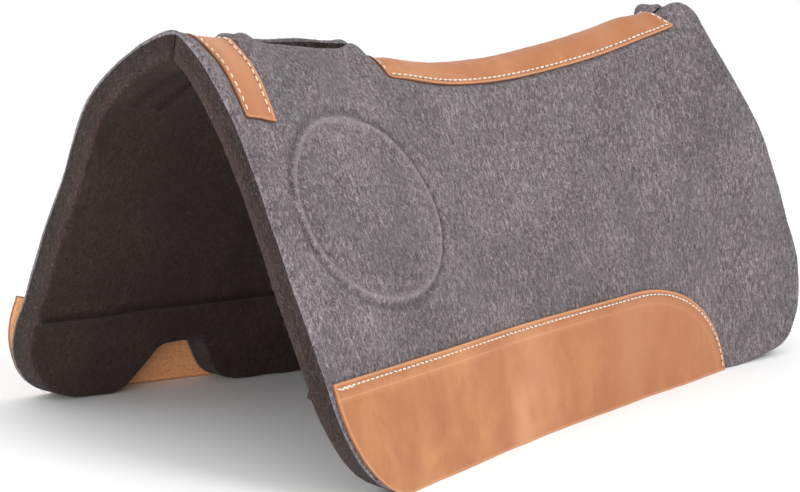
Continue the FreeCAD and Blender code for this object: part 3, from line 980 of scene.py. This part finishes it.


# each felt's rim colour and share below are the painted highlight along its cut edges
GREY_FELT = felt(
    "grey_wool_felt", colour(44, 38, 40), colour(100, 89, 92), colour(165, 154, 158), 0.14,
    colour(136, 136, 143), 0.6, colour(97, 96, 99),
)
DARK_FELT = felt(
    "dark_wool_felt", colour(24, 17, 16), colour(45, 33, 31), colour(74, 58, 55), 0.18,
    colour(66, 55, 53), 0.3, colour(43, 35, 33), sheen=0.10,
)
LINER = felt(
    "liner_wool_felt", colour(32, 22, 20), colour(57, 42, 38), colour(86, 67, 62), 0.18,
    colour(76, 60, 56), 0.4, colour(43, 31, 28), sheen=0.08,
)
INSERT = felt(
    "insert_wool_felt", colour(60, 54, 55), colour(96, 88, 90), colour(130, 122, 124), 0.18,
    colour(130, 122, 124), 0.3, colour(92, 90, 92),
)
TAN = leather(
    "tan_harness_leather", colour(163, 98, 57), colour(189, 128, 80), colour(211, 155, 113),
    colour(124, 68, 38), colour(250, 180, 126),
)
WHITE_THREAD = thread("waxed_white_thread", colour(196, 184, 166), colour(236, 228, 214))
DARK_THREAD = thread("dark_wool_thread", colour(32, 27, 26), colour(60, 52, 50))
GREY_FIBRE = thread("grey_wool_fibre", colour(70, 64, 67), colour(196, 188, 192))
DARK_FIBRE = thread("dark_wool_fibre", colour(38, 30, 28), colour(132, 122, 118))
NEEDLE_HOLE = thread("needle_hole_shadow", colour(58, 30, 18), colour(88, 50, 32))

# ---- dressing and placing ----


def dress(piece, material):
    piece.data.materials.append(material)
    return piece


def over_spine(piece):
    """Bakes the piece's placement into its mesh; it is not joined to either half."""
    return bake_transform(piece)


# ---- camera, floor and light ----

CAMERA_AT = Vector((1.883, -2.6255, 0.781))
CAMERA_BACK = Vector((0.5886, -0.7847, 0.1944)).normalized()
CAMERA_ROLL = math.radians(4.87)

camera = bpy.data.objects.new("camera", bpy.data.cameras.new("camera"))
bpy.context.scene.collection.objects.link(camera)
side_way = Vector((-CAMERA_BACK.y, CAMERA_BACK.x, 0)).normalized()
up_way = CAMERA_BACK.cross(side_way)
rolled_side = side_way * math.cos(CAMERA_ROLL) + up_way * math.sin(CAMERA_ROLL)
rolled_up = up_way * math.cos(CAMERA_ROLL) - side_way * math.sin(CAMERA_ROLL)
turned = Matrix((rolled_side, rolled_up, CAMERA_BACK)).transposed().to_4x4()
camera.matrix_world = Matrix.Translation(CAMERA_AT) @ turned
camera.data.lens = 149.4
camera.data.shift_y = -0.0018
camera.data.sensor_width = 36
camera.data.clip_end = 60
bpy.context.scene.camera = camera


def floor():
    size = 60
    corners = [(-size, -size, 0), (size, -size, 0), (size, size, 0), (-size, size, 0)]
    plane = mesh_object("floor", corners, [(0, 1, 2, 3)])
    white = Shader("white_floor", 0.9, specular=0.1)
    tone = white.mix(white.noise(3.0), colour(250, 250, 250), colour(253, 253, 253))
    plane.data.materials.append(white.finish(tone, white.noise(40), 0.0001))


def softbox(name, at, toward, size, power):
    light = bpy.data.objects.new(name, bpy.data.lights.new(name, "AREA"))
    light.data.shape = "RECTANGLE"
    light.data.size, light.data.size_y = size
    light.data.energy = power
    light.location = at
    light.rotation_euler = (Vector(at) - Vector(toward)).to_track_quat("Z", "Y").to_euler()
    bpy.context.scene.collection.objects.link(light)


def studio():
    floor()
    world = bpy.data.worlds.new("studio")
    world.use_nodes = True
    sky = world.node_tree.nodes["Background"]
    sky.inputs["Color"].default_value = (1.0, 1.0, 1.0, 1.0)
    sky.inputs["Strength"].default_value = 1.0
    bpy.context.scene.world = world
    softbox("key", (2.4, 0.0, 2.4), (0, 0, 0.2), (1.2, 1.2), 32)
    softbox("front", (-0.4, -2.6, 1.8), (0, 0, 0.2), (1.2, 1.2), 7)
    softbox("low", (0.8, -2.6, 0.45), (-0.15, -0.2, 0.08), (1.2, 0.6), 24)
    bpy.context.scene.view_settings.view_transform = "Standard"


studio()

# ---- the pieces ----


def rings_mm(*rings, top=0.0):
    """(inset, depth) pairs in millimetres, as metres below top."""
    return [(inset * 0.001, top + depth * 0.001) for inset, depth in rings]


def rows_of(line, spacing, *offsets):
    return beside(even(line, spacing, closed=False), *offsets)


def wear_seam():
    """The wear leather's stitch line."""
    top = WEAR_TOP_Z - STITCH_INSET
    straight = [(x, top) for x in np.linspace(SEAM_START, WEAR_BACK - WEAR_CURVE, 90)]
    turn = np.linspace(0, math.pi / 2, 40)[1:]
    reach = WEAR_CURVE - STITCH_INSET
    curve = [(WEAR_BACK - WEAR_CURVE + reach * math.sin(t), top * math.cos(t)) for t in turn]
    return even(on_face(straight + curve), 0.004, closed=False)


def make_felts(hand, side, seed):
    outline = even(felt_outline(), 0.003)
    x, y = outline.T
    free = smooth_step(y, 0.010, 0.030)[:, None]
    outline = inward(outline, 1e-9) + (inward(outline, 0.0005) - outline) * free * waves(
        x / 0.030, y / 0.030, seed
    )[:, None]
    form = felt_form(hand, seed)
    oval_rows = [
        oval_outline(by, 260)
        for by in (-0.0065, -0.0045, -0.003, -0.0015, 0, 0.0015, 0.003, 0.0045, 0.006, 0.008)
    ]
    outer = slab(
        "felt_face_" + side, outline,
        rings_mm(
            (3.6, 0), (2.4, 0.15), (1.4, 0.55), (0.7, 1.2), (0.3, 2.1), (0.15, 3.2), (0.15, 3.4), (4, 3.4)
        ),
        (0.0035, 0.014), hand, form, (oval_rows, ()), at_seam=True,
    )
    core = slab(
        "felt_core_" + side, outline,
        rings_mm(
            (4, 3.45), (0.5, 3.45), (0.5, 3.65), (0.55, 6), (0.7, 9), (0.6, 12.5), (0.5, 16.2), (0.5, 16.4),
            (4, 16.4)
        ),
        (0.014, 0.014), hand, form, at_seam=True,
    )
    seam = wear_seam()
    groove_rows = rows_of(seam, 0.003, -0.005, -0.003, -0.0012, 0.0012, 0.003, 0.005)
    for k in (0, 1):
        line = np.array([(strap_row(d, k), d) for d in (0.03, STRAP_DROP)])
        groove_rows += rows_of(line, 0.003, -0.0045, -0.0025, -0.0008, 0.0008, 0.0025, 0.0045)
    liner = slab(
        "felt_liner_" + side, outline,
        rings_mm(
            (4, 16.4), (0.5, 16.4), (0.5, 16.6), (0.5, 19), (0.6, 21.5), (0.9, 23.3), (1.8, 24.7),
            (3.4, 25.4),
        ),
        (0.014, 0.0048), hand, form, ((), groove_rows), at_seam=True,
    )
    for piece, node, material, slot_name in (
        (outer, "outer_felt_", GREY_FELT, "grey_felt"),
        (core, "core_felt_", DARK_FELT, "dark_felt"),
        (liner, "liner_felt_", LINER, "liner_felt"),
    ):
        dress(piece, material)
        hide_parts(node + side)
        over_spine(piece)
    loose = face_fibres("face_fibres_" + side, outline, FACE_FIBRES, hand, form, seed + 50)
    edges = edge_fibres("edge_fibres_" + side, outline, EDGE_FIBRES, hand, form, seed + 60)
    over_spine(dress(loose, GREY_FIBRE))
    over_spine(dress(edges, DARK_FIBRE))
    return outer


def make_insert(hand, side, seed):
    outline = oval_outline(-0.001, 150)
    insert = slab(
        "felt_insert_" + side, outline,
        rings_mm((3, 4.0), (1, 4.2), (0.2, 5), (0, 9), (0.2, 15), (1, 15.8), (3, 16)),
        (0.007, 0.007), hand, lambda a, d, depth: 0.0003 * waves(a / 0.02, d / 0.02, seed),
    )
    dress(insert, INSERT)
    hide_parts("shoulder_insert_" + side)
    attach(insert, side + "_half")


LEATHER_EDGE = (
    (2.4, 0), (1.6, -0.05), (0.9, 0.02), (0.4, 0.2), (0.1, 0.6), (0, 1.4), (0.05, 2.5), (0.4, 3.0),
    (1.8, 3.2),
)


FLARE = {"left": 0.0, "right": 0.0100}  # how far the front top corner stands off the felt


def sew(panel, node, thread_node, join, names, lines, top, hand, seed, backstitch=0):
    """Dresses a leather panel, adds its thread and needle holes, and hands each piece to join, which
    attaches it to a half or bakes it in place.
    """
    dress(panel, TAN)
    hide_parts(node)
    join(panel)
    threads, holes = stitch_rows(names[0], lines, top, hand, seed, backstitch)
    dress(threads, WHITE_THREAD)
    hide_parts(thread_node)
    join(threads)
    dots = needle_holes(names[1], holes, top, hand)
    dress(dots, NEEDLE_HOLE)
    join(dots)


def make_wear_leather(hand, side, seed):
    outline = even(wear_outline(), 0.0025)
    seam = wear_seam()
    rows = rows_of(seam, 0.0022, -0.0022, -0.0011, 0, 0.0011, 0.0022)
    for inside in (CREASE, -CREASE):
        rows += rows_of(seam, 0.0025, inside - 0.0009, inside, inside + 0.0009)
    panel = slab(
        "wear_panel_" + side, outline, rings_mm(*LEATHER_EDGE, top=-LEATHER), (0.0040, 0.0060), hand,
        leather_form(hand, seed, [seam], 0.0008, FLARE[side]), (rows, ()),
    )
    sew(
        panel, "wear_leather_" + side, "wear_leather_stitching_" + side,
        lambda piece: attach(piece, side + "_half"),
        ("wear_stitches_" + side, "wear_needle_holes_" + side), [seam], -LEATHER, hand, seed + 5, 3,
    )


def make_spine_leather(node, name, outline, lines, seed):
    """A leather piece over the ridge, with its stitch rows."""
    outline = even(outline, 0.0022)
    top = -(LIFT + LEATHER)
    rows = [r for line in lines for r in rows_of(line, 0.0022, -0.0022, -0.0011, 0, 0.0011, 0.0022)]
    panel = slab(
        name + "_leather", outline, rings_mm(*LEATHER_EDGE, top=top), (0.0030, 0.0060), 1,
        leather_form(1, seed, lines, 0.00025), (rows, ()),
    )
    sew(
        panel, node, node + "_stitching", over_spine,
        (name + "_stitches", name + "_needle_holes"), lines, top, 1, seed + 5,
    )


def rounded(corners):
    """Closed outline with each (along, across, radius) corner rounded."""
    count = len(corners)
    arcs = []
    for i, (a, c, radius) in enumerate(corners):
        before, after = corners[i - 1][:2], corners[(i + 1) % count][:2]
        arcs.append(corner(before, (a, c), after, radius, 8))
    return np.concatenate(arcs)


def make_strap():
    tip, hollow = STRAP_DROP + 0.0015, STRAP_DROP - 0.0008
    middle = (STRAP_FRONT[1] + STRAP_REAR[1]) / 2
    outline = rounded([
        (STRAP_FRONT[0], 0, 0.040),
        (STRAP_FRONT[1], -STRAP_DROP, 0.0025), (middle, -hollow, 0.03), (STRAP_REAR[1], -tip, 0.002),
        (STRAP_REAR[0], 0, 0.040),
        (STRAP_REAR[1], tip, 0.002), (middle, hollow, 0.03), (STRAP_FRONT[1], STRAP_DROP, 0.0025),
    ])
    reach = STRAP_DROP - 0.005
    acrosses = np.linspace(-reach, reach, 60)
    lines = [np.stack([strap_row(acrosses, k), acrosses], 1) for k in (0, 1)]
    make_spine_leather("wither_strap", "strap", outline, lines, 41)


def make_strip():
    tip = STRIP_TO - STRIP_NOTCH
    outline = rounded([
        (STRIP_FROM, -STRIP_HALF, 0.008), (STRIP_TO, -STRIP_HALF, 0.003), (tip, 0, 0.006),
        (STRIP_TO, STRIP_HALF, 0.003), (STRIP_FROM, STRIP_HALF, 0.008),
    ])
    inset = STRIP_HALF - STITCH_INSET
    front, rear = STRIP_FROM + STITCH_INSET, STRIP_TO - STITCH_INSET - 0.002
    lines = []
    for hand in (1, -1):
        side_row = [(a, hand * inset) for a in np.linspace(front, rear, 150)]
        end_row = [
            (rear - (inset - c) * STRIP_NOTCH / STRIP_HALF, hand * c)
            for c in np.linspace(inset, 0.003, 24)[1:]
        ]
        lines.append(np.array(side_row + end_row))
    lines.append(np.array([(front, c) for c in np.linspace(-inset + 0.004, inset - 0.004, 40)]))
    make_spine_leather("spine_strip", "strip", outline, lines, 61)


def make_seam_thread(node, name, start, end, seed):
    """Thread that draws the halves together, inside the seam."""
    line = np.array([(a, 0.0) for a in np.linspace(start, end, 60)])
    row, _ = stitch_rows(name, [line], 0.0070, 1, seed, sink=0)
    dress(row, DARK_THREAD)
    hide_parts(node)
    over_spine(row)


for n, (side, hand) in enumerate(SIDES):
    make_felts(hand, side, 11 + 4 * n)
    make_insert(hand, side, 31 + n)
    make_wear_leather(hand, side, 21 + 7 * n)
make_strap()
make_strip()
make_seam_thread("front_seam_thread", "front_seam_stitches", 0.002, OPENING[0], 81)
make_seam_thread("rear_seam_thread", "rear_seam_stitches", OPENING[1], SPLIT_FROM, 83)
